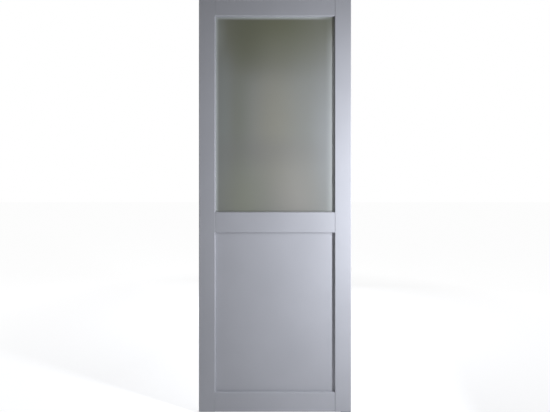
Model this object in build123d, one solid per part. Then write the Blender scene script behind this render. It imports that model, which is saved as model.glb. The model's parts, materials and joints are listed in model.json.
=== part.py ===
from build123d import *
from math import cos, radians, sin
import os

# A glazed sliding door leaf with its top-hung running gear, in millimetres.
# X runs along the track in the opening direction, Y from the front face to the back face, Z up.
# The origin lies on the top face of the head track, above the middle of the closed leaf.

# Leaf
leaf_width = 750.0
leaf_height = 2030.0
leaf_thickness = 40.0
stile_width = 80.0
top_rail_height = 80.0
middle_rail_height = 100.0
bottom_rail_height = 95.0
panel_opening_height = 788.0
arris_radius = 3.0
open_lap = 50.0

# Joints between rails and stiles
tenon_thickness = 12.0
tenon_length = 45.0
tenon_shoulder = 14.0
tenon_end_clearance = 2.0

# Lower panel and its groove
panel_thickness = 12.0
panel_groove_depth = 12.0
panel_groove_clearance = 0.15
panel_edge_clearance = 2.0

# Glass, seals and beads
glass_thickness = 4.0
glass_edge_clearance = 3.0
glass_recess = 14.0
rebate_depth = 10.0
seal_thickness = 1.0
seal_show = 1.0
bead_setback = 1.0
bead_clearance = 0.1
bead_round = 4.0
setting_block_length = 40.0
setting_block_inset = 60.0

# Guide channel along the foot of the leaf
guide_groove_width = 10.0
guide_groove_depth = 18.0
guide_channel_wall = 1.5

# Head track
track_width = 34.0
track_height = 34.0
track_wall = 2.8
track_slot_width = 12.0
track_corner_radius = 1.2
track_bead_radius = 1.5
track_screw_radius = 2.5
track_screw_count = 4
track_screw_end_distance = 60.0
running_gap = 18.0

# Trolleys
wheel_radius = 11.0
wheel_width = 7.0
wheel_flange_clearance = 0.5
wheel_groove_clearance = 0.3
wheel_side_clearance = 0.5
wheel_groove_angle = 40.0
wheel_spacing = 40.0
axle_radius = 2.0
axle_clearance = 0.05
axle_overhang = 0.8
trolley_length = 64.0
trolley_height = 16.0
trolley_thickness = 9.0
trolley_boss_radius = 7.0

# Hangers
bolt_radius = 4.0
bolt_clearance = 0.1
bolt_thread_depth = 12.0
bolt_head_across_flats = 13.0
bolt_head_height = 5.3
lock_nut_height = 6.5
plate_length = 110.0
plate_width = 24.0
plate_thickness = 3.0
plate_corner_radius = 5.0
plate_clearance = 0.2
plate_end_gap = 10.0
head_pocket_length = 30.0
head_pocket_width = 17.0
head_pocket_clearance = 6.0

# Track stops
stop_length = 30.0
stop_width = 24.0
stop_height = 16.0
stop_round = 2.0
stop_seat_gap = 0.2
buffer_radius = 5.5
buffer_length = 8.0
buffer_chamfer = 1.5
stop_clearance = 5.0

# Floor guide
floor_gap = 8.0
guide_base_length = 50.0
guide_base_width = 32.0
guide_base_thickness = 3.0
guide_base_corner = 6.0
guide_blade_length = 24.0
guide_blade_thickness = 6.0
guide_blade_entry = 11.0
guide_screw_radius = 2.25
guide_screw_distance = 34.0

# How far a cutting solid runs past the face that it opens
cut_margin = 1.0

# Levels and widths that follow from the sizes above
leaf_top = -(track_height + running_gap)
leaf_bottom = leaf_top - leaf_height
floor_level = leaf_bottom - floor_gap
rail_length = leaf_width - 2 * stile_width
half_thickness = leaf_thickness / 2
glass_top = leaf_top - top_rail_height
panel_bottom = leaf_bottom + bottom_rail_height
panel_top = panel_bottom + panel_opening_height
glass_bottom = panel_top + middle_rail_height
glass_opening_height = glass_top - glass_bottom
glass_centre = (glass_top + glass_bottom) / 2
glass_front = -half_thickness + glass_recess
glass_back = glass_front + glass_thickness
rebate_front = glass_front - seal_thickness
bead_front = glass_back + seal_thickness
bead_back = half_thickness - bead_setback
panel_groove_width = panel_thickness + 2 * panel_groove_clearance
guide_channel_width = guide_groove_width + 2 * guide_channel_wall
guide_channel_height = guide_groove_depth + guide_channel_wall
travel = leaf_width - open_lap
track_start = -leaf_width / 2
track_end = leaf_width / 2 + travel
lip_top = -track_height + track_wall
track_bead_centre = trolley_thickness / 2 + wheel_side_clearance + wheel_width / 2
wheel_level = lip_top + wheel_flange_clearance + wheel_radius
trolley_bottom = wheel_level - trolley_height / 2
plate_bottom = leaf_top - plate_thickness
hanger_distance = rail_length - plate_length - 2 * plate_end_gap
hanger_places = {"left": -hanger_distance / 2, "right": hanger_distance / 2}
axle_places = [
    centre + side * wheel_spacing / 2
    for centre in hanger_places.values()
    for side in (-1, 1)
]


# Solids from sections
def along_x(section, start, end):
    """A bar along X whose section is drawn with Y across and Z up."""
    return extrude(Plane.YZ.offset(start) * section, end - start)


def block(x_range, y_range, z_range):
    """A box between two values on each axis."""
    size = [high - low for low, high in (x_range, y_range, z_range)]
    middle = [(high + low) / 2 for low, high in (x_range, y_range, z_range)]
    return Pos(*middle) * Box(*size)


def rounded_band(low, high):
    """A rail's section from one level to another, with rounded arrises."""
    band = RectangleRounded(leaf_thickness, high - low, arris_radius)
    return Pos(0, (low + high) / 2) * band


# Spaces cut into the leaf
def glass_rebate():
    """The space that takes glass, seals and beads, open to the back of the leaf."""
    half = rail_length / 2 + rebate_depth
    levels = (glass_bottom - rebate_depth, glass_top + rebate_depth)
    return block((-half, half), (rebate_front, leaf_thickness), levels)


def panel_groove():
    """The space round the lower panel that its edges stand in."""
    half_length = rail_length / 2 + panel_groove_depth
    half_width = panel_groove_width / 2
    levels = (panel_bottom - panel_groove_depth, panel_top + panel_groove_depth)
    return block((-half_length, half_length), (-half_width, half_width), levels)


def guide_groove():
    """The groove along the foot of the leaf that takes the guide channel."""
    half_width = guide_channel_width / 2
    levels = (leaf_bottom - cut_margin, leaf_bottom + guide_channel_height)
    return block((-leaf_width, leaf_width), (-half_width, half_width), levels)


def hanger_pocket(centre):
    """The seat of a hanger plate, with a deeper pocket for the bolt head under it."""
    outline = RectangleRounded(
        plate_length + 2 * plate_clearance,
        plate_width + 2 * plate_clearance,
        plate_corner_radius + plate_clearance,
    )
    seat = extrude(Pos(centre, 0, plate_bottom) * outline, plate_thickness + cut_margin)
    depth = bolt_head_height + head_pocket_clearance
    slot = SlotOverall(head_pocket_length, head_pocket_width)
    pocket = extrude(Pos(centre, 0, plate_bottom - depth) * slot, depth)
    return seat + pocket


# Stiles and rails
tenon_levels = {
    "top": (glass_top + tenon_shoulder, leaf_top - tenon_shoulder),
    "middle": (panel_top + tenon_shoulder, glass_bottom - tenon_shoulder),
    "bottom": (leaf_bottom + guide_channel_height + tenon_shoulder, panel_bottom - tenon_shoulder),
}


def tenons(place, length):
    """The tongues at both ends of a rail, as one bar through the rail."""
    half_length = rail_length / 2 + length
    half_width = tenon_thickness / 2
    return block((-half_length, half_length), (-half_width, half_width), tenon_levels[place])


def stile(side):
    """A full-height upright, with the rebate, grooves and mortises in its inner edge."""
    outline = RectangleRounded(stile_width, leaf_thickness, arris_radius)
    centre = side * (leaf_width - stile_width) / 2
    upright = extrude(Pos(centre, 0, leaf_bottom) * outline, leaf_height)
    upright -= glass_rebate() + panel_groove()
    upright -= guide_groove()
    for place in tenon_levels:
        upright -= tenons(place, tenon_length + tenon_end_clearance)
    return upright


def rail(place, low, high):
    """A cross rail between the stiles, with a tenon at each end."""
    bar = along_x(rounded_band(low, high), -rail_length / 2, rail_length / 2)
    return bar + tenons(place, tenon_length)


def top_rail():
    """The head of the leaf, with the glass rebate under it and the hanger seats on it."""
    bar = rail("top", glass_top, leaf_top) - glass_rebate()
    for centre in hanger_places.values():
        bar -= hanger_pocket(centre)
    return bar


def middle_rail():
    """The lock rail, with the glass rebate on it and the panel groove under it."""
    return rail("middle", panel_top, glass_bottom) - glass_rebate() - panel_groove()


def bottom_rail():
    """The foot of the leaf, between the panel groove and the guide groove."""
    return rail("bottom", leaf_bottom, panel_bottom) - panel_groove() - guide_groove()


# Panel, glass, seals and beads
def lower_panel():
    """The flat panel, standing in its groove with room to move at the edges."""
    lap = panel_groove_depth - panel_edge_clearance
    panel = Box(rail_length + 2 * lap, panel_thickness, panel_opening_height + 2 * lap)
    return Pos(0, 0, (panel_bottom + panel_top) / 2) * panel


def glass_sheet(lap, front, back):
    """A flat sheet over the glass opening that laps its edges by a given amount."""
    width = rail_length + 2 * lap
    height = glass_opening_height + 2 * lap
    return Pos(0, (front + back) / 2, glass_centre) * Box(width, back - front, height)


def glass_pane():
    """The single pane."""
    return glass_sheet(rebate_depth - glass_edge_clearance, glass_front, glass_back)


def glazing_seal(front, back):
    """A flat gasket round the pane's edge that shows a narrow line in the opening."""
    outer = glass_sheet(rebate_depth - glass_edge_clearance, front, back)
    return outer - glass_sheet(-seal_show, front - cut_margin, back + cut_margin)


def setting_blocks():
    """The two blocks under the pane that carry its weight."""
    blocks = []
    for side in (-1, 1):
        centre = side * (rail_length / 2 - setting_block_inset)
        low = glass_bottom - rebate_depth
        shape = Box(setting_block_length, glass_thickness, glass_edge_clearance)
        blocks.append(Pos(centre, (glass_front + glass_back) / 2, low + glass_edge_clearance / 2) * shape)
    return Compound(children=blocks)


def glazing_bead(opening_length, opening_across, turn):
    """A bead along one side of the glass opening, drawn over it, mitred, then turned into place."""
    width = rebate_depth - bead_clearance
    edge = opening_across / 2
    outline = Pos((bead_front + bead_back) / 2, edge + width / 2) * Rectangle(bead_back - bead_front, width)
    shown_corner = outline.vertices().group_by(Axis.X)[-1].group_by(Axis.Y)[0]
    outline = fillet(shown_corner, bead_round)
    reach = opening_length / 2 + width
    bar = along_x(outline, -reach, reach)
    mitre_plan = Polygon(
        (-opening_length / 2, edge),
        (opening_length / 2, edge),
        (reach, edge + width),
        (-reach, edge + width),
        align=None,
    )
    mitred = bar & extrude(Plane.XZ * mitre_plan, leaf_thickness, both=True)
    return Pos(0, 0, glass_centre) * Rot(0, turn, 0) * mitred


# Guide channel
def guide_channel():
    """The lining of the groove in the foot of the leaf, open downwards."""
    centre = leaf_bottom + guide_channel_height / 2
    outer = Pos(0, centre) * Rectangle(guide_channel_width, guide_channel_height)
    inner = Pos(0, leaf_bottom + guide_groove_depth / 2) * Rectangle(guide_groove_width, guide_groove_depth)
    return along_x(outer - inner, -leaf_width / 2, leaf_width / 2)


# Hangers
def hanger_plate(centre):
    """The plate let into the top rail, slotted at one side for the bolt."""
    outline = RectangleRounded(plate_length, plate_width, plate_corner_radius)
    slot_reach = plate_width / 2
    slot = Pos(0, slot_reach / 2) * Rectangle(2 * (bolt_radius + bolt_clearance), slot_reach)
    round_end = Circle(bolt_radius + bolt_clearance)
    shape = outline - slot - round_end
    return extrude(Pos(centre, 0, plate_bottom) * shape, plate_thickness)


def hanger_bolt(centre):
    """The bolt that hangs the plate from the trolley, with its head under the plate."""
    head = RegularPolygon(bolt_head_across_flats / 2, 6, major_radius=False)
    head_solid = extrude(Pos(centre, 0, plate_bottom - bolt_head_height) * head, bolt_head_height)
    length = trolley_bottom + bolt_thread_depth - plate_bottom
    shank = extrude(Pos(centre, 0, plate_bottom) * Circle(bolt_radius), length)
    return head_solid + shank


def lock_nut(centre):
    """The nut that clamps the plate to the bolt."""
    ring = RegularPolygon(bolt_head_across_flats / 2, 6, major_radius=False)
    ring -= Circle(bolt_radius + bolt_clearance)
    return extrude(Pos(centre, 0, leaf_top) * ring, lock_nut_height)


def trolley_frame(centre):
    """The bar between the wheels, with a round boss that takes the bolt."""
    bar = Plane.XZ * SlotOverall(trolley_length, trolley_height)
    frame = extrude(bar, trolley_thickness / 2, both=True)
    frame += Cylinder(trolley_boss_radius, trolley_height)
    for side in (-1, 1):
        axle_hole = Rot(90, 0, 0) * Cylinder(axle_radius + axle_clearance, 2 * track_width)
        frame -= Pos(side * wheel_spacing / 2, 0, 0) * axle_hole
    depth = bolt_thread_depth + cut_margin
    bolt_hole = Cylinder(bolt_radius + bolt_clearance, depth)
    frame -= Pos(0, 0, (depth - trolley_height) / 2) * bolt_hole
    return Pos(centre, 0, wheel_level) * frame


def wheel_groove():
    """Half the section of a wheel's groove, as points along the wheel's radius and width.

    Its flanks are tangent to a circle that clears the running bead all round.
    """
    reach = track_bead_radius + wheel_groove_clearance
    angle = radians(wheel_groove_angle)
    depths = (0, reach - wheel_flange_clearance)
    points = []
    for depth in depths:
        level = wheel_flange_clearance + depth
        half_width = (reach - level * sin(angle)) / cos(angle)
        points.append((wheel_radius - depth, half_width))
    return points


def wheel():
    """A wheel about the Y axis, with a groove round its tread."""
    half = wheel_width / 2
    bore = axle_radius + axle_clearance
    mouth, floor = wheel_groove()
    section = Polygon(
        (bore, -half),
        (wheel_radius, -half),
        (mouth[0], -mouth[1]),
        (floor[0], -floor[1]),
        floor,
        mouth,
        (wheel_radius, half),
        (bore, half),
        align=None,
    )
    return revolve(section, Axis.Y)


def trolley_wheels():
    """The wheels of both trolleys, one each side of the frame on every axle."""
    wheels = []
    for place in axle_places:
        for face in (-1, 1):
            wheels.append(Pos(place, face * track_bead_centre, wheel_level) * wheel())
    return Compound(children=wheels)


def trolley_axles():
    """The axles of both trolleys."""
    length = trolley_thickness + 2 * (wheel_side_clearance + wheel_width + axle_overhang)
    axles = []
    for place in axle_places:
        axles.append(Pos(place, 0, wheel_level) * Rot(90, 0, 0) * Cylinder(axle_radius, length))
    return Compound(children=axles)


# Head track, stops and floor guide
def head_track():
    """The slotted channel that the trolleys run in, with a running bead on each lip."""
    centre = -track_height / 2
    section = Pos(0, centre) * RectangleRounded(track_width, track_height, track_corner_radius)
    section -= Pos(0, centre) * Rectangle(track_width - 2 * track_wall, track_height - 2 * track_wall)
    section -= Pos(0, lip_top) * Rectangle(track_slot_width, 2 * track_wall + track_corner_radius)
    for face in (-1, 1):
        section += Pos(face * track_bead_centre, lip_top) * Circle(track_bead_radius)
    track = along_x(section, track_start, track_end)
    pitch = (track_end - track_start - 2 * track_screw_end_distance) / (track_screw_count - 1)
    for index in range(track_screw_count):
        place = Pos(track_start + track_screw_end_distance + index * pitch, 0, -track_wall / 2)
        track -= place * Cylinder(track_screw_radius, 2 * track_wall)
    return track


def stop_face(side):
    """The X value of a stop's buffer face, just past the trolley at the end of its travel."""
    reach = (hanger_distance + trolley_length) / 2 + stop_clearance
    return side * reach + (travel if side > 0 else 0)


def track_stop(side):
    """The block clamped in the track behind a buffer, resting on the running beads."""
    low = lip_top + track_bead_radius + stop_seat_gap
    body = Box(stop_length, stop_width, stop_height)
    body = fillet(body.edges().filter_by(Axis.X), stop_round)
    centre = stop_face(side) + side * (buffer_length + stop_length / 2)
    return Pos(centre, 0, low + stop_height / 2) * body


def stop_buffer(side):
    """The rubber buffer on the face of a stop."""
    level = lip_top + track_bead_radius + stop_seat_gap + stop_height / 2
    body = Cylinder(buffer_radius, buffer_length)
    body = chamfer(body.edges().filter_by(GeomType.CIRCLE).sort_by(Axis.Z)[-1], buffer_chamfer)
    turned = Rot(0, -side * 90, 0) * body
    return Pos(stop_face(side) + side * buffer_length / 2, 0, level) * turned


def floor_guide():
    """The base screwed to the floor, with the blade that steadies the foot of the leaf."""
    outline = RectangleRounded(guide_base_length, guide_base_width, guide_base_corner)
    for side in (-1, 1):
        outline -= Pos(side * guide_screw_distance / 2, 0) * Circle(guide_screw_radius)
    base = extrude(outline, guide_base_thickness)
    top = floor_gap + guide_blade_entry
    half = guide_blade_thickness / 2
    blade = Pos(0, (top - half) / 2) * Rectangle(guide_blade_thickness, top - half)
    blade += Pos(0, top - half) * Circle(half)
    fin = along_x(blade, -guide_blade_length / 2, guide_blade_length / 2)
    return Pos(travel / 2, 0, floor_level) * (base + fin)


# The named pieces
pieces = {
    "left_stile": stile(-1),
    "right_stile": stile(1),
    "top_rail": top_rail(),
    "middle_rail": middle_rail(),
    "bottom_rail": bottom_rail(),
    "lower_panel": lower_panel(),
    "glass_pane": glass_pane(),
    "front_glazing_seal": glazing_seal(rebate_front, glass_front),
    "back_glazing_seal": glazing_seal(glass_back, bead_front),
    "glass_setting_blocks": setting_blocks(),
    "glazing_bead_top": glazing_bead(rail_length, glass_opening_height, 0),
    "glazing_bead_right": glazing_bead(glass_opening_height, rail_length, 90),
    "glazing_bead_bottom": glazing_bead(rail_length, glass_opening_height, 180),
    "glazing_bead_left": glazing_bead(glass_opening_height, rail_length, 270),
    "guide_channel": guide_channel(),
    "trolley_wheels": trolley_wheels(),
    "trolley_axles": trolley_axles(),
    "head_track": head_track(),
    "floor_guide": floor_guide(),
}
for name, place in hanger_places.items():
    pieces[f"{name}_hanger_plate"] = hanger_plate(place)
    pieces[f"{name}_hanger_bolt"] = hanger_bolt(place)
    pieces[f"{name}_lock_nut"] = lock_nut(place)
    pieces[f"{name}_trolley_frame"] = trolley_frame(place)
for name, side in (("left", -1), ("right", 1)):
    pieces[f"{name}_track_stop"] = track_stop(side)
    pieces[f"{name}_stop_buffer"] = stop_buffer(side)

os.makedirs("parts", exist_ok=True)
for name, shape in pieces.items():
    export_step(shape, f"parts/{name}.step")
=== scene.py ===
"""Looks of a glazed sliding door: finishes, small fittings, studio and camera.

Lengths are metres, apart from names that end in _mm, which hold millimetres.
"""
import json
import logging
from dataclasses import dataclass, field
from enum import Enum
from math import cos, pi, radians, sin, tan
from typing import Callable, Sequence

import bpy
import bmesh
import numpy as np
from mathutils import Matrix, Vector


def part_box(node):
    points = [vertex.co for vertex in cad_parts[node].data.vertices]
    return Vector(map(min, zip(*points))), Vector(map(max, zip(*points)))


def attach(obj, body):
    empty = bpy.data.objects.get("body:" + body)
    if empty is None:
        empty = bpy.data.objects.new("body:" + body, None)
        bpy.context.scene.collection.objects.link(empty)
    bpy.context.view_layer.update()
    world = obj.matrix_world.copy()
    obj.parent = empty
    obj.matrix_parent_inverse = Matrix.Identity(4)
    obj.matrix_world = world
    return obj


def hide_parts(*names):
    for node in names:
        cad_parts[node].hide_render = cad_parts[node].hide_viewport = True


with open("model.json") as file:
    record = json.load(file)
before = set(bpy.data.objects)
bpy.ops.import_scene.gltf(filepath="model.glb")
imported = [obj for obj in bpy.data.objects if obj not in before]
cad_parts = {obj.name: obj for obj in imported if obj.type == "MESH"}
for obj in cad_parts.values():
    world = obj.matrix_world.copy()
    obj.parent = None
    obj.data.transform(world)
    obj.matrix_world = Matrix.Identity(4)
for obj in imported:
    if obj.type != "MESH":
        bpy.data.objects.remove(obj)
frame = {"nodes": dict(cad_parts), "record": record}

logging.basicConfig(level=logging.INFO, format="%(message)s")
log = logging.getLogger("sliding_door")

Array = np.ndarray
Tree = bpy.types.NodeTree
Socket = bpy.types.NodeSocket
Material = bpy.types.Material
Pair = tuple[float, float]
Triple = tuple[float, float, float]

MM = 0.001
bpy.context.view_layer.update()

# Most of a noise's values lie in its middle
NOISE_MIDDLE = (0.3, 0.7)

# Nearer corners of a mesh are merged, and edges that bend more stay sharp
MERGE_REACH = 1e-7
SHARP_DEG = 35.0


class Body(Enum):
    """The two bodies of the frame that a piece can ride on."""

    GEAR = "fixed_gear"
    LEAF = "door_leaf"


class Grain(Enum):
    """The way a finish's lines run: a stretch for each axis, small along the lines."""

    UPRIGHT = (1.0, 1.0, 0.03)
    ACROSS = (0.03, 1.0, 1.0)
    EXTRUDED = (0.01, 1.0, 1.0)


# Colours and shader nodes
def linear_colour(hex_code: str) -> tuple[float, float, float, float]:
    """Turns an sRGB hex code into a linear colour.

    Args:
        hex_code: Six hex digits after a hash sign.

    Returns:
        Red, green and blue in linear light, and an alpha of 1.
    """
    values = []
    for start in (1, 3, 5):
        level = int(hex_code[start:start + 2], 16) / 255
        values.append(level / 12.92 if level <= 0.04045 else ((level + 0.055) / 1.055) ** 2.4)
    return (*values, 1.0)


def add_node(tree: Tree, kind: str, settings: dict | None = None,
             **sockets: object) -> bpy.types.Node:
    """Adds a shader node.

    Args:
        tree: The node tree.
        kind: The node's type name.
        settings: Properties to set on the node.
        **sockets: Input names with underscores for spaces, or in0, in1 for input numbers.
            A value that is an output socket is linked, and any other is set.

    Returns:
        The node.
    """
    node = tree.nodes.new(kind)
    for name, value in (settings or {}).items():
        setattr(node, name, value)
    for name, value in sockets.items():
        key = int(name[2:]) if name[:2] == "in" and name[2:].isdigit() else name.replace("_", " ")
        socket = node.inputs[key]
        if isinstance(value, Socket):
            tree.links.new(value, socket)
        else:
            socket.default_value = value
    return node


def new_tree(name: str) -> tuple[Material, Tree]:
    """Makes an empty node material.

    Args:
        name: The material's name.

    Returns:
        The material and its node tree.
    """
    material = bpy.data.materials.new(name)
    material.use_nodes = True
    material.node_tree.nodes.clear()
    return material, material.node_tree


def close_tree(tree: Tree, shader: bpy.types.Node) -> None:
    """Links a shader to the material's output.

    Args:
        tree: The node tree.
        shader: The last shader node.
    """
    add_node(tree, "ShaderNodeOutputMaterial", Surface=shader.outputs[0])


def object_noise(tree: Tree, size_mm: float, detail: float,
                 stretch: Triple = (1.0, 1.0, 1.0)) -> Socket:
    """Adds noise on Object coordinates.

    Args:
        tree: The node tree.
        size_mm: The size of one blotch.
        detail: How many finer layers the noise has.
        stretch: A factor for each axis, under 1 to draw the blotches out along it.

    Returns:
        The noise value, from 0 to 1.
    """
    place = add_node(tree, "ShaderNodeTexCoord")
    turned = add_node(tree, "ShaderNodeMapping", Vector=place.outputs["Object"], Scale=stretch)
    noise = add_node(tree, "ShaderNodeTexNoise", Vector=turned.outputs[0],
                     Scale=1 / (size_mm * MM), Detail=detail)
    return noise.outputs[0]


def spread(tree: Tree, value: Socket, low: float, high: float) -> Socket:
    """Maps the middle of a noise value's range onto two limits.

    Args:
        tree: The node tree.
        value: The noise.
        low: The result where the noise is at the middle's lower end or under it.
        high: The result where the noise is at the middle's upper end or over it.

    Returns:
        The mapped value.
    """
    node = add_node(tree, "ShaderNodeMapRange", in0=value, in1=NOISE_MIDDLE[0],
                    in2=NOISE_MIDDLE[1], in3=low, in4=high)
    return node.outputs[0]


def blend_colours(tree: Tree, share: Socket, first: tuple | Socket,
                  second: tuple | Socket) -> Socket:
    """Mixes two colours.

    Args:
        tree: The node tree.
        share: How much of the second colour shows.
        first: The first colour, or a socket that gives it.
        second: The second colour, or a socket that gives it.

    Returns:
        The mixed colour.
    """
    node = add_node(tree, "ShaderNodeMix", {"data_type": "RGBA"},
                    in0=share, in6=first, in7=second)
    return node.outputs[2]


def bump(tree: Tree, height: Socket, depth_mm: float, before: Socket | None = None) -> Socket:
    """Adds relief.

    Args:
        tree: The node tree.
        height: The relief's height, from 0 to 1.
        depth_mm: The relief's depth.
        before: The normal of relief that lies under this.

    Returns:
        The bent normal.
    """
    node = add_node(tree, "ShaderNodeBump", Distance=depth_mm * MM, Height=height, Strength=1.0)
    if before is not None:
        tree.links.new(before, node.inputs["Normal"])
    return node.outputs[0]


# Finishes
@dataclass(frozen=True)
class SprayedLacquer:
    """Satin lacquer sprayed on primed timber: an even light grey with a soft sheen.

    The eye sees a broad, slow change of tone, a fine orange peel in the sheen and, very faintly,
    the grain of the timber under it.

    Attributes:
        name: The material's name.
        grain: The way the timber's grain runs.
        colour: The lacquer's colour.
        shade: The colour of its slightly darker patches.
        roughness: The lowest and highest roughness.
        peel_mm: The width of one dimple of orange peel.
        peel_depth_mm: The depth of a dimple.
        grain_mm: The width of one band of grain.
        grain_depth_mm: The height of the grain under the lacquer.
        patch_mm: The width of a patch of darker tone.
        ior: The index of refraction.
    """

    name: str
    grain: Grain
    colour: str = "#B5B6BB"
    shade: str = "#B0B1B6"
    roughness: Pair = (0.38, 0.46)
    peel_mm: float = 2.2
    peel_depth_mm: float = 0.012
    grain_mm: float = 5.0
    grain_depth_mm: float = 0.02
    patch_mm: float = 260.0
    ior: float = 1.5

    def material(self) -> Material:
        """Builds the material."""
        material, tree = new_tree(self.name)
        patches = object_noise(tree, self.patch_mm, detail=3.0)
        grain = object_noise(tree, self.grain_mm, detail=3.0, stretch=self.grain.value)
        peel = object_noise(tree, self.peel_mm, detail=1.0)
        colour = blend_colours(tree, spread(tree, patches, 0.0, 1.0),
                               linear_colour(self.colour), linear_colour(self.shade))
        under = bump(tree, grain, self.grain_depth_mm)
        shader = add_node(tree, "ShaderNodeBsdfPrincipled", Base_Color=colour,
                          Roughness=spread(tree, grain, *self.roughness),
                          Normal=bump(tree, peel, self.peel_depth_mm, under), IOR=self.ior)
        close_tree(tree, shader)
        return material


@dataclass(frozen=True)
class LightShadePatch:
    """A soft patch of painted shade or light in the etched glass, darker or paler than the glass
    round it and strongest in its middle.

    Attributes:
        place: Its middle, as shares of the opening's width from the left and height from the top.
        reach: How far it spreads each way, as shares of the width and height.
        colour: The colour in its middle.
        share: How much of that colour shows there.
    """

    place: Pair
    reach: Pair
    colour: str
    share: float


@dataclass(frozen=True)
class EtchedGlass:
    """Float glass etched to a satin face: a smoky grey that light passes through softly.

    The eye sees no clear image in it. Painted into its colour are slow patches of shade and light,
    from dark olive at the head to cool grey at the sides and warm grey in the middle, and a
    painted pale margin where the lit rebate shines in. A fine sparkle comes from the etched grain.

    Attributes:
        name: The material's name.
        low: The lowest corner of the opening.
        high: The highest corner of the opening.
        colour: The colour at the sides and foot.
        light_and_shade: The soft patches of painted shade and light, each laid over those before
            it.
        margin: The colour of the pale margin, a painted highlight from the lit rebate.
        margin_left: The margin's width in millimetres at the left, and its share at the edge.
        margin_right: The same at the right.
        margin_head: The same at the head.
        corners: More patches over the margins: a painted shade that ends the right margin before
            it meets the head, and a painted highlight at the left margin's head.
        roughness: The lowest and highest roughness.
        clear: The share of light that passes through.
        ior: The index of refraction.
        grit_mm: The width of one etched grain, coarser than the real one so that it shows.
        grit_depth_mm: The depth of the etching.
    """

    name: str
    low: Triple
    high: Triple
    colour: str = "#878984"
    # Painted shade and light: dark olive patches at the head, paler grey ones towards the foot and
    # the right
    light_and_shade: tuple[LightShadePatch, ...] = (
        LightShadePatch((0.49, 0.55), (0.30, 0.75), "#8C8B80", 0.9),
        LightShadePatch((0.20, 0.50), (0.14, 0.62), "#7C8073", 0.6),
        LightShadePatch((0.07, 0.48), (0.10, 0.60), "#8B918E", 0.5),
        LightShadePatch((0.95, 0.62), (0.22, 0.60), "#919495", 0.8),
        LightShadePatch((0.45, 0.69), (0.75, 0.13), "#7B7B78", 0.45),
        LightShadePatch((0.24, 0.95), (0.28, 0.32), "#8B8E7D", 0.6),
        LightShadePatch((0.68, 0.93), (0.28, 0.36), "#9B9790", 0.5),
        LightShadePatch((0.52, 0.21), (0.50, 0.18), "#6A6C60", 0.45),
        LightShadePatch((0.48, 0.02), (0.95, 0.33), "#696B56", 0.97),
        LightShadePatch((0.26, 0.10), (0.26, 0.32), "#5F614D", 0.7),
    )
    # Painted highlight: a pale margin along the left, the right and the head of the glass
    margin: str = "#C6CAC8"
    margin_left: Pair = (20.0, 0.85)
    margin_right: Pair = (50.0, 0.46)
    margin_head: Pair = (19.0, 1.0)
    # Painted shade at the right end of the head, painted highlight at the left end of the head
    corners: tuple[LightShadePatch, ...] = (
        LightShadePatch((1.0, 0.0), (0.16, 0.17), "#6E7060", 0.85),
        LightShadePatch((0.0, 0.08), (0.12, 0.17), "#C6CAC8", 0.2),
    )
    roughness: Pair = (0.42, 0.52)
    clear: float = 0.22
    ior: float = 1.52
    grit_mm: float = 1.2
    grit_depth_mm: float = 0.01

    def shaded_and_lit(self, tree: Tree, tint: tuple | Socket, light_and_shade: Sequence[LightShadePatch]) -> Socket:
        """Paints soft patches of shade and light over a colour.

        Each patch's share falls smoothly from its middle, where the scaled distance is 0, to its
        edge, where it is 1.

        Args:
            tree: The node tree.
            tint: The colour under the patches, or a socket that gives it.
            light_and_shade: The patches of painted shade and light, from the lowest up.

        Returns:
            The colour with the painted shade and light.
        """
        place = add_node(tree, "ShaderNodeTexCoord")
        width = self.high[0] - self.low[0]
        height = self.high[2] - self.low[2]
        for light_patch in light_and_shade:
            reach = (light_patch.reach[0] * width, light_patch.reach[1] * height)
            middle = (self.low[0] + light_patch.place[0] * width, self.high[2] - light_patch.place[1] * height)
            offset = (-middle[0] / reach[0], 0.0, -middle[1] / reach[1])
            scaled = add_node(tree, "ShaderNodeMapping", Vector=place.outputs["Object"],
                              Location=offset, Scale=(1 / reach[0], 0.0, 1 / reach[1]))
            distance = add_node(tree, "ShaderNodeVectorMath", {"operation": "LENGTH"},
                                in0=scaled.outputs[0])
            share = add_node(tree, "ShaderNodeMapRange", {"interpolation_type": "SMOOTHSTEP"},
                             in0=distance.outputs["Value"], in1=0.0, in2=1.0,
                             in3=light_patch.share, in4=0.0)
            tint = blend_colours(tree, share.outputs[0], tint, linear_colour(light_patch.colour))
        return tint

    def edged(self, tree: Tree, tint: Socket) -> Socket:
        """Pales the glass towards its head and sides, where the lit rebate shines into it.

        Args:
            tree: The node tree.
            tint: The colour without the margin.

        Returns:
            The colour with it.
        """
        place = add_node(tree, "ShaderNodeTexCoord")
        axes = add_node(tree, "ShaderNodeSeparateXYZ", Vector=place.outputs["Object"])
        for axis, edge, way, (width_mm, most) in (("X", self.low[0], 1, self.margin_left),
                                                  ("X", self.high[0], -1, self.margin_right),
                                                  ("Z", self.high[2], -1, self.margin_head)):
            share = add_node(tree, "ShaderNodeMapRange", {"interpolation_type": "SMOOTHSTEP"},
                             in0=axes.outputs[axis], in1=edge, in2=edge + way * width_mm * MM,
                             in3=most, in4=0.0)
            tint = blend_colours(tree, share.outputs[0], tint, linear_colour(self.margin))
        return tint

    def material(self) -> Material:
        """Builds the material."""
        material, tree = new_tree(self.name)
        grit = object_noise(tree, self.grit_mm, detail=1.0)
        # Painted shade and light patches, the painted pale margin, then the painted corner shade
        # and highlight
        tint = self.edged(tree, self.shaded_and_lit(tree, linear_colour(self.colour), self.light_and_shade))
        tint = self.shaded_and_lit(tree, tint, self.corners)
        shader = add_node(tree, "ShaderNodeBsdfPrincipled", Base_Color=tint,
                          Roughness=spread(tree, grit, *self.roughness),
                          Normal=bump(tree, grit, self.grit_depth_mm), IOR=self.ior,
                          Transmission_Weight=self.clear)
        close_tree(tree, shader)
        return material


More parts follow.
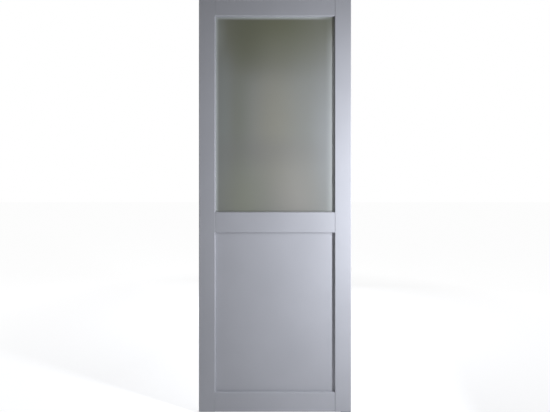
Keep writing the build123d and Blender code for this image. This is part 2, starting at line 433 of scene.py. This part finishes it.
@dataclass(frozen=True)
class MouldedPolymer:
    """Moulded or extruded rubber or plastic: one dull colour with a faint moulded grain.

    Attributes:
        name: The material's name.
        colour: The polymer's colour.
        roughness: The lowest and highest roughness.
        grain_mm: The width of the grain.
        grain_depth_mm: The depth of the grain.
        tone: The factors by which the grain darkens and lightens the colour.
        ior: The index of refraction.
    """

    name: str
    colour: str
    roughness: Pair = (0.5, 0.62)
    grain_mm: float = 0.8
    grain_depth_mm: float = 0.02
    tone: Pair = (0.94, 1.04)
    ior: float = 1.5

    def material(self) -> Material:
        """Builds the material."""
        material, tree = new_tree(self.name)
        grain = object_noise(tree, self.grain_mm, detail=1.0)
        tone = add_node(tree, "ShaderNodeHueSaturation", Color=linear_colour(self.colour),
                        Value=spread(tree, grain, *self.tone))
        shader = add_node(tree, "ShaderNodeBsdfPrincipled", Base_Color=tone.outputs[0],
                          Roughness=spread(tree, grain, *self.roughness),
                          Normal=bump(tree, grain, self.grain_depth_mm), IOR=self.ior)
        close_tree(tree, shader)
        return material


@dataclass(frozen=True)
class AnodisedAluminium:
    """Extruded and satin-anodised aluminium: pale metal with fine die lines along its length.

    Attributes:
        name: The material's name.
        colour: The metal's colour.
        roughness: The lowest and highest roughness.
        line_mm: The width of a die line, coarser than the real one so that it shows.
        line_depth_mm: The depth of a die line.
        lines: The way the die lines run.
        tone: The factors by which the lines darken and lighten the colour.
    """

    name: str
    colour: str = "#B4B6B9"
    roughness: Pair = (0.3, 0.42)
    line_mm: float = 1.4
    line_depth_mm: float = 0.02
    lines: Grain = Grain.EXTRUDED
    tone: Pair = (0.94, 1.03)

    def material(self) -> Material:
        """Builds the material."""
        material, tree = new_tree(self.name)
        lines = object_noise(tree, self.line_mm, detail=2.0, stretch=self.lines.value)
        tone = add_node(tree, "ShaderNodeHueSaturation", Color=linear_colour(self.colour),
                        Value=spread(tree, lines, *self.tone))
        shader = add_node(tree, "ShaderNodeBsdfPrincipled", Base_Color=tone.outputs[0],
                          Roughness=spread(tree, lines, *self.roughness),
                          Normal=bump(tree, lines, self.line_depth_mm), Metallic=1.0)
        close_tree(tree, shader)
        return material


@dataclass(frozen=True)
class ZincPlate:
    """Bright zinc plate on steel: a cool metal with cloudy patches from the plating bath.

    Attributes:
        name: The material's name.
        colour: The bright colour.
        dull: The colour of the duller patches.
        roughness: The lowest and highest roughness.
        patch_mm: The width of a dull patch.
        patch_depth_mm: How far the plating rises and falls over a patch.
    """

    name: str
    colour: str = "#C6C8CC"
    dull: str = "#A2A5AB"
    roughness: Pair = (0.24, 0.44)
    patch_mm: float = 5.0
    patch_depth_mm: float = 0.01

    def material(self) -> Material:
        """Builds the material."""
        material, tree = new_tree(self.name)
        patches = object_noise(tree, self.patch_mm, detail=4.0)
        colour = blend_colours(tree, spread(tree, patches, 0.0, 1.0),
                               linear_colour(self.colour), linear_colour(self.dull))
        shader = add_node(tree, "ShaderNodeBsdfPrincipled", Base_Color=colour,
                          Roughness=spread(tree, patches, *self.roughness),
                          Normal=bump(tree, patches, self.patch_depth_mm), Metallic=1.0)
        close_tree(tree, shader)
        return material


# Surfaces
@dataclass
class Surface:
    """A mesh as whole arrays.

    Attributes:
        points: One row of X, Y and Z for each corner.
        faces: One row of four corner numbers for each face.
    """

    points: Array
    faces: Array

    def moved(self, places: Array) -> "Surface":
        """Repeats the surface.

        Args:
            places: One row of X, Y and Z for each copy.

        Returns:
            All the copies as one surface.
        """
        places = np.atleast_2d(np.asarray(places, float))
        points = (self.points[None] + places[:, None]).reshape(-1, 3)
        steps = np.arange(len(places)) * len(self.points)
        faces = (self.faces[None] + steps[:, None, None]).reshape(-1, 4)
        return Surface(points, faces)

    def turned(self, matrix: Sequence[Sequence[float]]) -> "Surface":
        """Turns the surface about the origin.

        Args:
            matrix: Three rows of three, which multiply each point.

        Returns:
            The turned surface.
        """
        return Surface(self.points @ np.asarray(matrix, float).T, self.faces)


def joined(surfaces: Sequence[Surface]) -> Surface:
    """Puts several surfaces into one.

    Args:
        surfaces: The surfaces.

    Returns:
        The surface that holds them all.
    """
    starts = np.cumsum([0] + [len(s.points) for s in surfaces[:-1]])
    points = np.concatenate([s.points for s in surfaces])
    faces = np.concatenate([s.faces + start for s, start in zip(surfaces, starts)])
    return Surface(points, faces)


def grid(points: Array, round_way: bool = False) -> Surface:
    """Joins a grid of points into a surface of four-sided faces.

    Face (i, j) has the corners (i, j), (i, j+1), (i+1, j+1) and (i+1, j).

    Args:
        points: An array of rows by columns by 3.
        round_way: Whether the last column joins the first.

    Returns:
        The surface.
    """
    rows, columns = points.shape[:2]
    number = np.arange(rows * columns).reshape(rows, columns)
    if round_way:
        number = np.concatenate([number, number[:, :1]], axis=1)
    faces = np.stack([number[:-1, :-1], number[:-1, 1:], number[1:, 1:], number[1:, :-1]], axis=-1)
    return Surface(points.reshape(-1, 3), faces.reshape(-1, 4))


def turned_on_lathe(profile: Sequence[Pair], sides: int = 48,
                    reach: Callable[[Array, Array], Array] | None = None) -> Surface:
    """Carries a profile round the Z axis.

    The point at profile point (r, z) and angle a is (r cos a, r sin a, z). With reach, r becomes
    reach(r, a), which gives hexagons, threads and the like.

    Args:
        profile: Radius and height of each point, in millimetres, from the axis out and back to it.
        sides: How many steps one turn has.
        reach: A function of the radius and angle arrays that gives the radius.

    Returns:
        The closed surface, in metres.
    """
    line = np.asarray(profile, float) * MM
    angle = np.linspace(0, 2 * pi, sides, endpoint=False)
    radius = np.repeat(line[:, :1], sides, axis=1)
    turn = np.repeat(angle[None], len(line), axis=0)
    if reach is not None:
        radius = reach(radius, turn)
    height = np.repeat(line[:, 1:], sides, axis=1)
    return grid(np.stack([radius * np.cos(turn), radius * np.sin(turn), height], axis=-1), True)


def piece(name: str, surface: Surface, material: Material, body: Body) -> bpy.types.Object:
    """Makes an object from a surface and lets it ride on a body.

    Args:
        name: The piece's name.
        surface: Its surface, already in place.
        material: Its finish.
        body: The body that it rides on.

    Returns:
        The object.
    """
    mesh = bpy.data.meshes.new(name)
    mesh.from_pydata(surface.points, [], surface.faces.tolist())
    work = bmesh.new()
    work.from_mesh(mesh)
    bmesh.ops.remove_doubles(work, verts=work.verts, dist=MERGE_REACH)
    bmesh.ops.dissolve_degenerate(work, edges=work.edges, dist=MERGE_REACH)
    bmesh.ops.recalc_face_normals(work, faces=work.faces)
    work.to_mesh(mesh)
    work.free()
    mesh.shade_smooth()
    mesh.set_sharp_from_angle(angle=radians(SHARP_DEG))
    mesh.materials.append(material)
    thing = bpy.data.objects.new(name, mesh)
    bpy.context.scene.collection.objects.link(thing)
    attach(thing, body.value)
    log.info("%s: %d faces on %s", name, len(mesh.polygons), body.value)
    return thing


def finish_node(node: str, material: Material) -> None:
    """Gives a CAD node its finish.

    Args:
        node: The node's name.
        material: The finish.
    """
    for slot in frame["nodes"][node].material_slots:
        slot.material = material
    log.info("%s: %s", node, material.name)


def centre_of(node: str) -> Vector:
    """The middle of a CAD node's box."""
    low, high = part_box(node)
    return (low + high) / 2


# Small fittings
def flat_angle(angle: Array) -> Array:
    """The angle from the middle of the nearest of six flats."""
    return (angle + pi / 6) % (pi / 3) - pi / 6


def dome(radius_mm: float, height_mm: float, steps: int = 6, sides: int = 24) -> Surface:
    """A low dome: the point at angle a of its section is (radius sin a, height cos a).

    Args:
        radius_mm: Its radius.
        height_mm: Its height.
        steps: How many rings it has.
        sides: How many steps one turn has.

    Returns:
        The closed surface, from the plane Z = 0 up.
    """
    section = [(radius_mm * sin(a), height_mm * cos(a)) for a in np.linspace(0, pi / 2, steps)]
    return turned_on_lathe(section + [(0, 0)], sides)


@dataclass(frozen=True)
class CrossHead:
    """A pan head with a cross recess.

    The head is a grid of rings and angles. Its height over the seat is a flat dome,
    height * (1 - fall * (r / radius) ** 4), less a recess wherever the smaller of |x| and |y| is
    under a blade's half width and the larger is under a blade's length. The recess slopes up to
    the dome at the blades' sides and ends.

    Attributes:
        radius_mm: The head's radius.
        height_mm: The head's height over its seat.
        fall: The share of its height that the dome loses at its rim.
        blade: A blade's half width, as a share of the radius.
        blade_slope: The width of its sloping sides, as a share of its half width.
        length: A blade's length from the middle, as a share of the radius.
        end_slope: The length of its sloping end, as a share of the radius.
        depth: The recess's depth, as a share of the height.
        rings: How many rings the dome has.
        sides: How many steps one turn has.
    """

    radius_mm: float
    height_mm: float
    fall: float = 0.75
    blade: float = 0.13
    blade_slope: float = 0.35
    length: float = 0.58
    end_slope: float = 0.3
    depth: float = 0.6
    rings: int = 22
    sides: int = 64

    def surface(self) -> Surface:
        """Builds the head, seated on the plane Z = 0 and facing up."""
        share = np.linspace(0, 1, self.rings)[:, None]
        angle = np.linspace(0, 2 * pi, self.sides, endpoint=False)[None]
        x = share * self.radius_mm * np.cos(angle)
        y = share * self.radius_mm * np.sin(angle)
        crown = self.height_mm * (1 - self.fall * np.repeat(share, self.sides, axis=1) ** 4)
        half = self.blade * self.radius_mm
        length = self.length * self.radius_mm
        narrow = np.minimum(np.abs(x), np.abs(y))
        wide = np.maximum(np.abs(x), np.abs(y))
        inside = np.clip((half - narrow) / (self.blade_slope * half), 0, 1)
        fade = np.clip((length - wide) / (self.end_slope * self.radius_mm), 0, 1)
        z = crown - self.depth * self.height_mm * inside * fade
        top = np.stack([x, y, z], axis=-1) * MM
        skirt = top[-1:].copy()
        skirt[..., 2] = 0
        middle = np.zeros_like(skirt)
        return grid(np.concatenate([top, skirt, middle]), True)


def socket_screw(radius_mm: float, height_mm: float, across_mm: float, depth: float = 0.7,
                 rim_mm: float = 0.15, chamfer_mm: float = 0.4) -> Surface:
    """A set screw's end with a six-sided socket.

    The socket's wall lies at across / 2 / cos(a - nearest flat's angle), so its plan is a hexagon,
    and the rest of the profile is round.

    Args:
        radius_mm: The screw's radius.
        height_mm: The length that stands out.
        across_mm: The socket's size across flats.
        depth: The socket's depth, as a share of the height.
        rim_mm: How far the socket's mouth lies under the screw's end.
        chamfer_mm: The chamfer round the end.

    Returns:
        The surface, from the plane Z = 0 up.
    """
    foot = height_mm - depth * height_mm
    profile = [(0, foot), (across_mm / 2, foot), (across_mm / 2, height_mm - rim_mm),
               (radius_mm - chamfer_mm, height_mm), (radius_mm, height_mm - chamfer_mm),
               (radius_mm, 0), (0, 0)]
    wall = across_mm / 2 * MM

    def reach(radius: Array, angle: Array) -> Array:
        """Turns the socket's round wall into six flats."""
        return np.where(np.isclose(radius, wall), wall / np.cos(flat_angle(angle)), radius)

    return turned_on_lathe(profile, reach=reach)


def hexagon(across_mm: float, height_mm: float, bore_mm: float, sides: int = 96) -> Surface:
    """A hexagonal nut or bolt head with chamfered corners.

    Its radius is the smaller of the hexagon's, across / 2 / cos(a - nearest flat's angle), and
    that of a 30 degree cone from each end. The cone starts at the flats' own radius.

    Args:
        across_mm: The size across flats.
        height_mm: The height.
        bore_mm: The radius of the hole, or 0 for a solid head.
        sides: How many steps one turn has.

    Returns:
        The surface, from the plane Z = 0 up.
    """
    flat = across_mm / 2
    corner = flat / cos(pi / 6)
    slope = tan(pi / 6)
    drop = (corner - flat) * slope
    heights = (0, drop / 2, drop, height_mm - drop, height_mm - drop / 2, height_mm)
    profile = [(bore_mm, 0), (flat, 0)] + [(corner, z) for z in heights]
    profile += [(flat, height_mm), (bore_mm, height_mm)]
    if bore_mm:
        profile.append((bore_mm, 0))
    level = np.array([z for _, z in profile])[:, None]
    cone = (flat + np.minimum(level, height_mm - level) / slope) * MM

    def reach(radius: Array, angle: Array) -> Array:
        """Cuts the outer wall to the hexagon and the cones."""
        shaped = np.minimum(flat * MM / np.cos(flat_angle(angle)), cone)
        return np.where(np.isclose(radius, corner * MM), shaped, radius)

    return turned_on_lathe(profile, sides, reach)


def threaded_rod(radius_mm: float, length_mm: float, pitch_mm: float, depth: float = 0.6,
                 pitch_steps: int = 8, sides: int = 32) -> Surface:
    """A rod with a screw thread.

    At height z and angle a the radius is radius - depth * pitch * |2 f - 1|, where f is the
    fraction of z / pitch - a / (2 pi). Both ends run in to the axis.

    Args:
        radius_mm: The radius over the thread.
        length_mm: The rod's length.
        pitch_mm: The thread's pitch.
        depth: The thread's depth, as a share of the pitch.
        pitch_steps: How many rings one pitch has.
        sides: How many steps one turn has.

    Returns:
        The surface, from the plane Z = 0 up.
    """
    heights = np.linspace(0, length_mm, int(length_mm / pitch_mm * pitch_steps))
    profile = [(0, 0)] + [(radius_mm, z) for z in heights] + [(0, length_mm)]
    depth_mm = depth * pitch_mm
    level = np.array([z for _, z in profile])[:, None]

    def reach(radius: Array, angle: Array) -> Array:
        """Cuts the thread."""
        fraction = (level / pitch_mm - angle / (2 * pi)) % 1
        return np.where(radius > 0, radius - depth_mm * MM * np.abs(2 * fraction - 1), 0)

    return turned_on_lathe(profile, sides, reach)


# Turns that face an upright fitting to the front, to the back and down
FACE_FRONT = ((1, 0, 0), (0, 0, -1), (0, 1, 0))
FACE_BACK = ((1, 0, 0), (0, 0, 1), (0, -1, 0))
FACE_DOWN = ((1, 0, 0), (0, -1, 0), (0, 0, -1))


# The door
@dataclass
class DoorLeaf:
    """The painted frame, panel, glass, seals, beads and guide channel.

    Attributes:
        upright: The nodes whose grain runs up.
        across: The nodes whose grain runs across.
        pin_radius_mm: The radius of a filled pin in the beads.
        pin_proud_mm: How far a filled pin stands out.
        pin_pitch_mm: The usual distance between pins.
        finishes: The two painted finishes, once the leaf is dressed.
    """

    upright: tuple[str, ...] = ("left_stile", "right_stile", "glazing_bead_left",
                                "glazing_bead_right")
    across: tuple[str, ...] = ("top_rail", "middle_rail", "bottom_rail", "glazing_bead_top",
                               "glazing_bead_bottom")
    pin_radius_mm: float = 1.1
    pin_proud_mm: float = 0.12
    pin_pitch_mm: float = 180.0
    finishes: dict[str, Material] = field(default_factory=dict)

    def dress(self) -> None:
        """Gives every node of the leaf its finish."""
        upright = SprayedLacquer("satin_lacquer_upright", Grain.UPRIGHT).material()
        across = SprayedLacquer("satin_lacquer_across", Grain.ACROSS).material()
        board = SprayedLacquer("satin_lacquer_board", Grain.UPRIGHT,
                               grain_depth_mm=0.006).material()
        left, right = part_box("left_stile")[1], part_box("right_stile")[0]
        foot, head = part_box("middle_rail")[1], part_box("top_rail")[0]
        glass = EtchedGlass("etched_satin_glass", low=(left.x, 0.0, foot.z),
                            high=(right.x, 0.0, head.z)).material()
        seal = MouldedPolymer("grey_glazing_seal", "#A8ABAF", roughness=(0.6, 0.75)).material()
        channel = MouldedPolymer("extruded_pvc", "#74767A").material()
        self.finishes = {"upright": upright, "across": across}
        for node in self.upright:
            finish_node(node, upright)
        for node in self.across:
            finish_node(node, across)
        finish_node("lower_panel", board)
        finish_node("glass_pane", glass)
        for node in ("front_glazing_seal", "back_glazing_seal", "glass_setting_blocks"):
            finish_node(node, seal)
        finish_node("guide_channel", channel)

    def bead_pins(self) -> None:
        """Adds the filled pins that hold the beads, as low domes along the middle of each bead."""
        pin = dome(self.pin_radius_mm, self.pin_proud_mm).turned(FACE_BACK)
        for node, finish in (("glazing_bead_top", "across"), ("glazing_bead_bottom", "across"),
                             ("glazing_bead_left", "upright"), ("glazing_bead_right", "upright")):
            low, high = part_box(node)
            axis = 0 if high.x - low.x > high.z - low.z else 2
            length = high[axis] - low[axis]
            count = max(2, round(length / (self.pin_pitch_mm * MM)))
            along = (np.arange(count) + 0.5) / count * length + low[axis]
            middle = (np.asarray(low) + np.asarray(high)) / 2
            places = np.repeat(middle[None], count, axis=0)
            places[:, axis] = along
            places[:, 1] = high.y
            piece(f"{node}_pins", pin.moved(places), self.finishes[finish], Body.LEAF)


@dataclass
class RunningGear:
    """The trolleys, hanger bolts, nuts and plates on the leaf.

    Attributes:
        sides: The two ends of the leaf.
        wheel_width_mm: The width of a wheel.
        wheel_reach_mm: From the middle of a trolley to its axles.
        groove_mm: Half widths of the groove at the rim and at its foot, and its depth.
        hollow_mm: Inner and outer radius of the hollow in a wheel's faces, and its depth.
        hollow_slope_mm: How far the hollow's walls lean.
        rim_mm: The chamfer at a wheel's rim.
        wheel_sides: How many steps one turn of a wheel has.
        bearing_mm: Inner and outer radius of the bearing's face, and how far it stands out.
        running_fit_mm: The gap between a wheel and its axle.
        rivet_mm: Radius and height of an axle's riveted end.
        across_flats_mm: The size of bolt heads and nuts.
        bolt_radius_mm: The radius over the hanger bolts' thread.
        thread_pitch_mm: The pitch of that thread.
        plate_screw_mm: Radius and height of the heads of a plate's screws.
        plate_screws_mm: Where the screws stand along a plate, from its middle.
    """

    sides: tuple[str, ...] = ("left", "right")
    wheel_width_mm: float = 7.0
    wheel_reach_mm: float = 20.0
    groove_mm: Triple = (1.95, 0.85, 1.3)
    hollow_mm: Triple = (4.4, 8.2, 0.7)
    hollow_slope_mm: float = 0.2
    rim_mm: float = 0.4
    wheel_sides: int = 72
    bearing_mm: Triple = (2.3, 4.3, 0.12)
    running_fit_mm: float = 0.05
    rivet_mm: Pair = (2.6, 0.5)
    across_flats_mm: float = 13.0
    bolt_radius_mm: float = 4.0
    thread_pitch_mm: float = 1.25
    plate_screw_mm: Pair = (3.6, 0.9)
    plate_screws_mm: tuple[float, ...] = (-45.0, -27.0, 27.0, 45.0)

    def dress(self) -> None:
        """Gives the CAD nodes of the running gear their finish and adds the fittings."""
        zinc = ZincPlate("bright_zinc_plate").material()
        nylon = MouldedPolymer("moulded_nylon", "#DEDDD3", roughness=(0.32, 0.42)).material()
        for node in ("hanger_plate", "trolley_frame", "hanger_bolt", "lock_nut"):
            for side in self.sides:
                finish_node(f"{side}_{node}", zinc)
        finish_node("trolley_axles", zinc)
        finish_node("trolley_wheels", nylon)
        self.wheels(nylon, zinc)
        self.bolts(zinc)
        self.plate_screws(zinc)

    def wheel(self, radius_mm: float, bore_mm: float) -> Surface:
        """A grooved wheel with hollowed faces: a profile carried round its axle.

        Args:
            radius_mm: The rim's radius.
            bore_mm: The radius of the hole for the axle.

        Returns:
            The surface, with its axle along Y and its middle at the origin.
        """
        half, rim, slope = self.wheel_width_mm / 2, self.rim_mm, self.hollow_slope_mm
        wide, narrow, depth = self.groove_mm
        inner, outer, hollow = self.hollow_mm
        side = [(bore_mm, half), (inner, half), (inner + slope, half - hollow),
                (outer - slope, half - hollow), (outer, half), (radius_mm - rim, half),
                (radius_mm, half - rim), (radius_mm, wide), (radius_mm - depth, narrow)]
        other = [(r, -z) for r, z in side]
        outline = other + side[::-1] + other[:1]
        return turned_on_lathe(outline, self.wheel_sides).turned(FACE_FRONT)

    def wheels(self, nylon: Material, zinc: Material) -> None:
        """Replaces the wheels by smooth ones, and adds a bearing and a rivet head to each."""
        low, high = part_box("trolley_wheels")
        axle_low, axle_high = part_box("trolley_axles")
        level = (low.z + high.z) / 2
        bore = (axle_high.z - axle_low.z) / 2 / MM + self.running_fit_mm
        wheel = self.wheel((high.z - low.z) / 2 / MM, bore)
        centres = [centre_of(f"{side}_trolley_frame").x + way * self.wheel_reach_mm * MM
                   for side in self.sides for way in (-1, 1)]
        middle = high.y - self.wheel_width_mm / 2 * MM
        places = [(x, way * middle, level) for x in centres for way in (-1, 1)]
        thing = piece("grooved_wheels", wheel.moved(places), nylon, Body.LEAF)
        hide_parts("trolley_wheels")
        near, far, proud = self.bearing_mm
        ring = turned_on_lathe([(near, 0), (far, 0), (far, proud), (near, proud), (near, 0)])
        rivet = dome(*self.rivet_mm, steps=8, sides=36)
        end = axle_high.y - self.rivet_mm[1] * MM
        rings, rivets = [], []
        for turn, way in ((FACE_FRONT, -1), (FACE_BACK, 1)):
            rings.append(ring.turned(turn).moved([(x, way * high.y, level) for x in centres]))
            rivets.append(rivet.turned(turn).moved([(x, way * end, level) for x in centres]))
        piece("wheel_bearings", joined(rings), zinc, Body.LEAF)
        piece("axle_rivets", joined(rivets), zinc, Body.LEAF)

    def bolts(self, zinc: Material) -> None:
        """Replaces the hanger bolts by threaded ones and the nuts by chamfered ones."""
        for side in self.sides:
            low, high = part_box(f"{side}_hanger_bolt")
            plate_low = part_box(f"{side}_hanger_plate")[0]
            centre = centre_of(f"{side}_hanger_bolt")
            head = hexagon(self.across_flats_mm, (plate_low.z - low.z) / MM, 0.0)
            head = head.moved([(centre.x, centre.y, low.z)])
            length = (high.z - plate_low.z) / MM
            rod = threaded_rod(self.bolt_radius_mm, length, self.thread_pitch_mm)
            rod = rod.moved([(centre.x, centre.y, plate_low.z)])
            bolt = piece(f"{side}_threaded_bolt", joined([head, rod]), zinc, Body.LEAF)
            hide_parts(f"{side}_hanger_bolt")
            nut_low, nut_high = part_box(f"{side}_lock_nut")
            nut = hexagon(self.across_flats_mm, (nut_high.z - nut_low.z) / MM, self.bolt_radius_mm)
            nut = nut.moved([(centre.x, centre.y, nut_low.z)])
            thing = piece(f"{side}_chamfered_nut", nut, zinc, Body.LEAF)
            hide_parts(f"{side}_lock_nut")

    def plate_screws(self, zinc: Material) -> None:
        """Adds the low screw heads on the hanger plates."""
        head = CrossHead(*self.plate_screw_mm).surface()
        places = []
        for side in self.sides:
            centre = centre_of(f"{side}_hanger_plate")
            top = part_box(f"{side}_hanger_plate")[1].z
            places += [(centre.x + x * MM, centre.y, top) for x in self.plate_screws_mm]
        piece("plate_screws", head.moved(places), zinc, Body.LEAF)


@dataclass
class FixedGear:
    """The head track, its stops and the floor guide.

    Attributes:
        track_screw_mm: Radius and height of the heads of the track's screws.
        guide_screw_mm: Radius and height of the heads of the guide's screws.
        web_mm: The thickness of the track's web.
        guide_base_mm: The thickness of the guide's base.
        set_screw_mm: Radius, length out and socket size of the stops' set screws.
    """

    track_screw_mm: Pair = (4.2, 1.8)
    guide_screw_mm: Pair = (3.8, 1.7)
    web_mm: float = 2.8
    guide_base_mm: float = 3.0
    set_screw_mm: Triple = (3.0, 1.2, 3.0)

    def screw_places(self, mounts: Sequence[str], level: float) -> list[Triple]:
        """Finds the screws of two-hole mounts.

        Args:
            mounts: The mounts' names.
            level: The height at which the heads are seated.

        Returns:
            One place for each screw.
        """
        places = []
        for mount in frame["record"]["mounts"]:
            if mount["name"] in mounts:
                reach = mount["dims"]["spacing_x_mm"] * MM / 2
                x, y, _ = mount["pos_m"]
                places += [(x - reach, y, level), (x + reach, y, level)]
        return places

    def dress(self) -> None:
        """Gives the fixed nodes their finish and adds their screws."""
        aluminium = AnodisedAluminium("anodised_aluminium").material()
        zinc = ZincPlate("zinc_plated_screws").material()
        rubber = MouldedPolymer("moulded_rubber", "#1C1C1D", roughness=(0.65, 0.8)).material()
        nylon = MouldedPolymer("grey_nylon", "#4A4C50").material()
        finish_node("head_track", aluminium)
        finish_node("floor_guide", nylon)
        for side in ("left", "right"):
            finish_node(f"{side}_track_stop", zinc)
            finish_node(f"{side}_stop_buffer", rubber)
        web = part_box("head_track")[1].z - self.web_mm * MM
        heads = CrossHead(*self.track_screw_mm).surface().turned(FACE_DOWN)
        places = self.screw_places(("track_screws_outer", "track_screws_inner"), web)
        piece("track_screws", heads.moved(places), zinc, Body.GEAR)
        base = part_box("floor_guide")[0].z + self.guide_base_mm * MM
        heads = CrossHead(*self.guide_screw_mm).surface()
        places = self.screw_places(("guide_screws",), base)
        piece("guide_screws", heads.moved(places), zinc, Body.GEAR)
        screws = []
        for side in ("left", "right"):
            centre = centre_of(f"{side}_track_stop")
            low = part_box(f"{side}_track_stop")[0].z
            screw = socket_screw(*self.set_screw_mm).turned(FACE_DOWN)
            screws.append(screw.moved([(centre.x, centre.y, low)]))
        piece("stop_set_screws", joined(screws), zinc, Body.GEAR)


# Studio
@dataclass(frozen=True)
class Lamp:
    """A rectangular soft lamp.

    Attributes:
        name: The lamp's name.
        place: Where it stands.
        target: What it faces.
        size: Its width and height.
        power: Its power in watts.
        colour: Its colour.
    """

    name: str
    place: Triple
    target: Triple
    size: Pair
    power: float
    colour: str = "#F4F7FF"

    def build(self) -> None:
        """Adds the lamp, unseen by the camera itself."""
        data = bpy.data.lights.new(self.name, "AREA")
        data.shape = "RECTANGLE"
        data.size, data.size_y = self.size
        data.energy = self.power
        data.color = linear_colour(self.colour)[:3]
        lamp = bpy.data.objects.new(self.name, data)
        lamp.location = self.place
        way = Vector(self.target) - Vector(self.place)
        lamp.rotation_euler = way.to_track_quat("-Z", "Y").to_euler()
        lamp.visible_camera = False
        bpy.context.scene.collection.objects.link(lamp)


LAMPS = (
    Lamp("window_lamp", (0.9, -0.62, -1.02), (-0.08, -0.41, -1.02), (0.12, 1.3), 21.9),
    Lamp("back_lamp", (0.2, 1.8, -0.5), (0.0, 0.02, -1.1), (0.8, 1.6), 26.0),
    Lamp("top_lamp", (0.4, 1.0, 1.2), (0.35, 0.0, 0.0), (1.2, 0.6), 8.0),
)


@dataclass
class Studio:
    """The pale floor, white surroundings, soft lamps and camera.

    Attributes:
        distance: From the camera to the leaf's front face.
        rise: How far the camera stands above the picture's middle.
        photo_size: The photograph's width and height in pixels.
        leaf_height_px: The leaf's height in the photograph.
        cut_px: How much of the leaf's top edge the photograph cuts off.
        sensor_mm: The camera's sensor width.
        floor_half: Half the floor's width.
        floor_colour: The colour of the floor's paint.
        fill: The strength of the light from the surroundings.
        floor_glow: The strength of the floor's glow where it is seen, near the leaf and far away.
        glow_reach: How far from the leaf's foot the near glow ends and the far glow starts.
    """

    distance: float = 2.0
    rise: float = 0.167
    photo_size: tuple[int, int] = (550, 412)
    leaf_height_px: float = 412.35
    cut_px: float = 0.45
    sensor_mm: float = 36.0
    floor_half: float = 14.0
    floor_colour: str = "#E6E6E6"
    fill: float = 0.1
    floor_glow: Pair = (0.66, 0.9)
    glow_reach: Pair = (1.0, 3.0)

    def camera(self) -> None:
        """Places the camera square on, over the leaf's middle, and shifts the picture down."""
        low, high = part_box("left_stile")[0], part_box("right_stile")[1]
        scale = (high.z - low.z) / self.leaf_height_px
        data = bpy.data.cameras.new("photo_camera")
        data.sensor_width = self.sensor_mm
        data.lens = self.sensor_mm * self.distance / (self.photo_size[0] * scale)
        view = bpy.data.objects.new("photo_camera", data)
        level = high.z - (self.photo_size[1] / 2 + self.cut_px) * scale + self.rise
        data.shift_y = -self.rise / (self.photo_size[0] * scale)
        view.location = ((low.x + high.x) / 2, low.y - self.distance, level)
        view.rotation_euler = (pi / 2, 0, 0)
        bpy.context.scene.collection.objects.link(view)
        bpy.context.scene.camera = view

    def seen_directly(self, tree: Tree) -> Socket:
        """Gives 1 for rays from the camera, off gloss and through glass, and 0 for all others."""
        path = add_node(tree, "ShaderNodeLightPath")
        seen = path.outputs["Is Camera Ray"]
        for ray in ("Is Glossy Ray", "Is Transmission Ray"):
            larger = add_node(tree, "ShaderNodeMath", {"operation": "MAXIMUM"},
                              in0=seen, in1=path.outputs[ray])
            seen = larger.outputs[0]
        return seen

    def surroundings(self) -> None:
        """Makes the world white where it is seen, and a soft grey fill elsewhere."""
        world = bpy.data.worlds.new("studio_world")
        world.use_nodes = True
        tree = world.node_tree
        tree.nodes.clear()
        strength = add_node(tree, "ShaderNodeMapRange", in0=self.seen_directly(tree),
                            in3=self.fill, in4=1.0)
        background = add_node(tree, "ShaderNodeBackground", Color=linear_colour("#FFFFFF"),
                              Strength=strength.outputs[0])
        add_node(tree, "ShaderNodeOutputWorld", Surface=background.outputs[0])
        bpy.context.scene.world = world

    def glow(self, tree: Tree) -> Socket:
        """Gives the floor's glow: none where it is unseen, and less near the leaf.

        There the lamps' own light makes the floor white, so that the leaf's shadow shows.

        Args:
            tree: The node tree.

        Returns:
            The strength of the glow.
        """
        place = add_node(tree, "ShaderNodeTexCoord")
        level = add_node(tree, "ShaderNodeMapping", Vector=place.outputs["Object"],
                         Scale=(1.0, 1.0, 0.0))
        distance = add_node(tree, "ShaderNodeVectorMath", {"operation": "LENGTH"},
                            in0=level.outputs[0])
        strength = add_node(tree, "ShaderNodeMapRange", in0=distance.outputs["Value"],
                            in1=self.glow_reach[0], in2=self.glow_reach[1],
                            in3=self.floor_glow[0], in4=self.floor_glow[1])
        seen = add_node(tree, "ShaderNodeMath", {"operation": "MULTIPLY"},
                        in0=self.seen_directly(tree), in1=strength.outputs[0])
        return seen.outputs[0]

    def floor(self) -> None:
        """Lays the pale floor under the guide. It glows where it is seen, and keeps shadows."""
        low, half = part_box("floor_guide")[0].z, self.floor_half
        points = [(-half, -half, low), (half, -half, low), (half, half, low), (-half, half, low)]
        mesh = bpy.data.meshes.new("studio_floor")
        mesh.from_pydata(points, [], [(0, 1, 2, 3)])
        material, tree = new_tree("pale_floor")
        paint = add_node(tree, "ShaderNodeBsdfDiffuse", Color=linear_colour(self.floor_colour))
        glow = add_node(tree, "ShaderNodeEmission", Strength=self.glow(tree))
        both = add_node(tree, "ShaderNodeAddShader", in0=paint.outputs[0], in1=glow.outputs[0])
        close_tree(tree, both)
        mesh.materials.append(material)
        floor = bpy.data.objects.new("studio_floor", mesh)
        bpy.context.scene.collection.objects.link(floor)

    def build(self) -> None:
        """Builds the whole studio."""
        self.camera()
        self.surroundings()
        self.floor()
        for lamp in LAMPS:
            lamp.build()
        bpy.context.scene.view_settings.view_transform = "Standard"
        log.info("studio ready")


def main() -> None:
    """Builds the door's looks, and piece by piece."""
    leaf = DoorLeaf()
    leaf.dress()
    leaf.bead_pins()
    RunningGear().dress()
    FixedGear().dress()
    Studio().build()


if __name__ == "__main__":
    main()
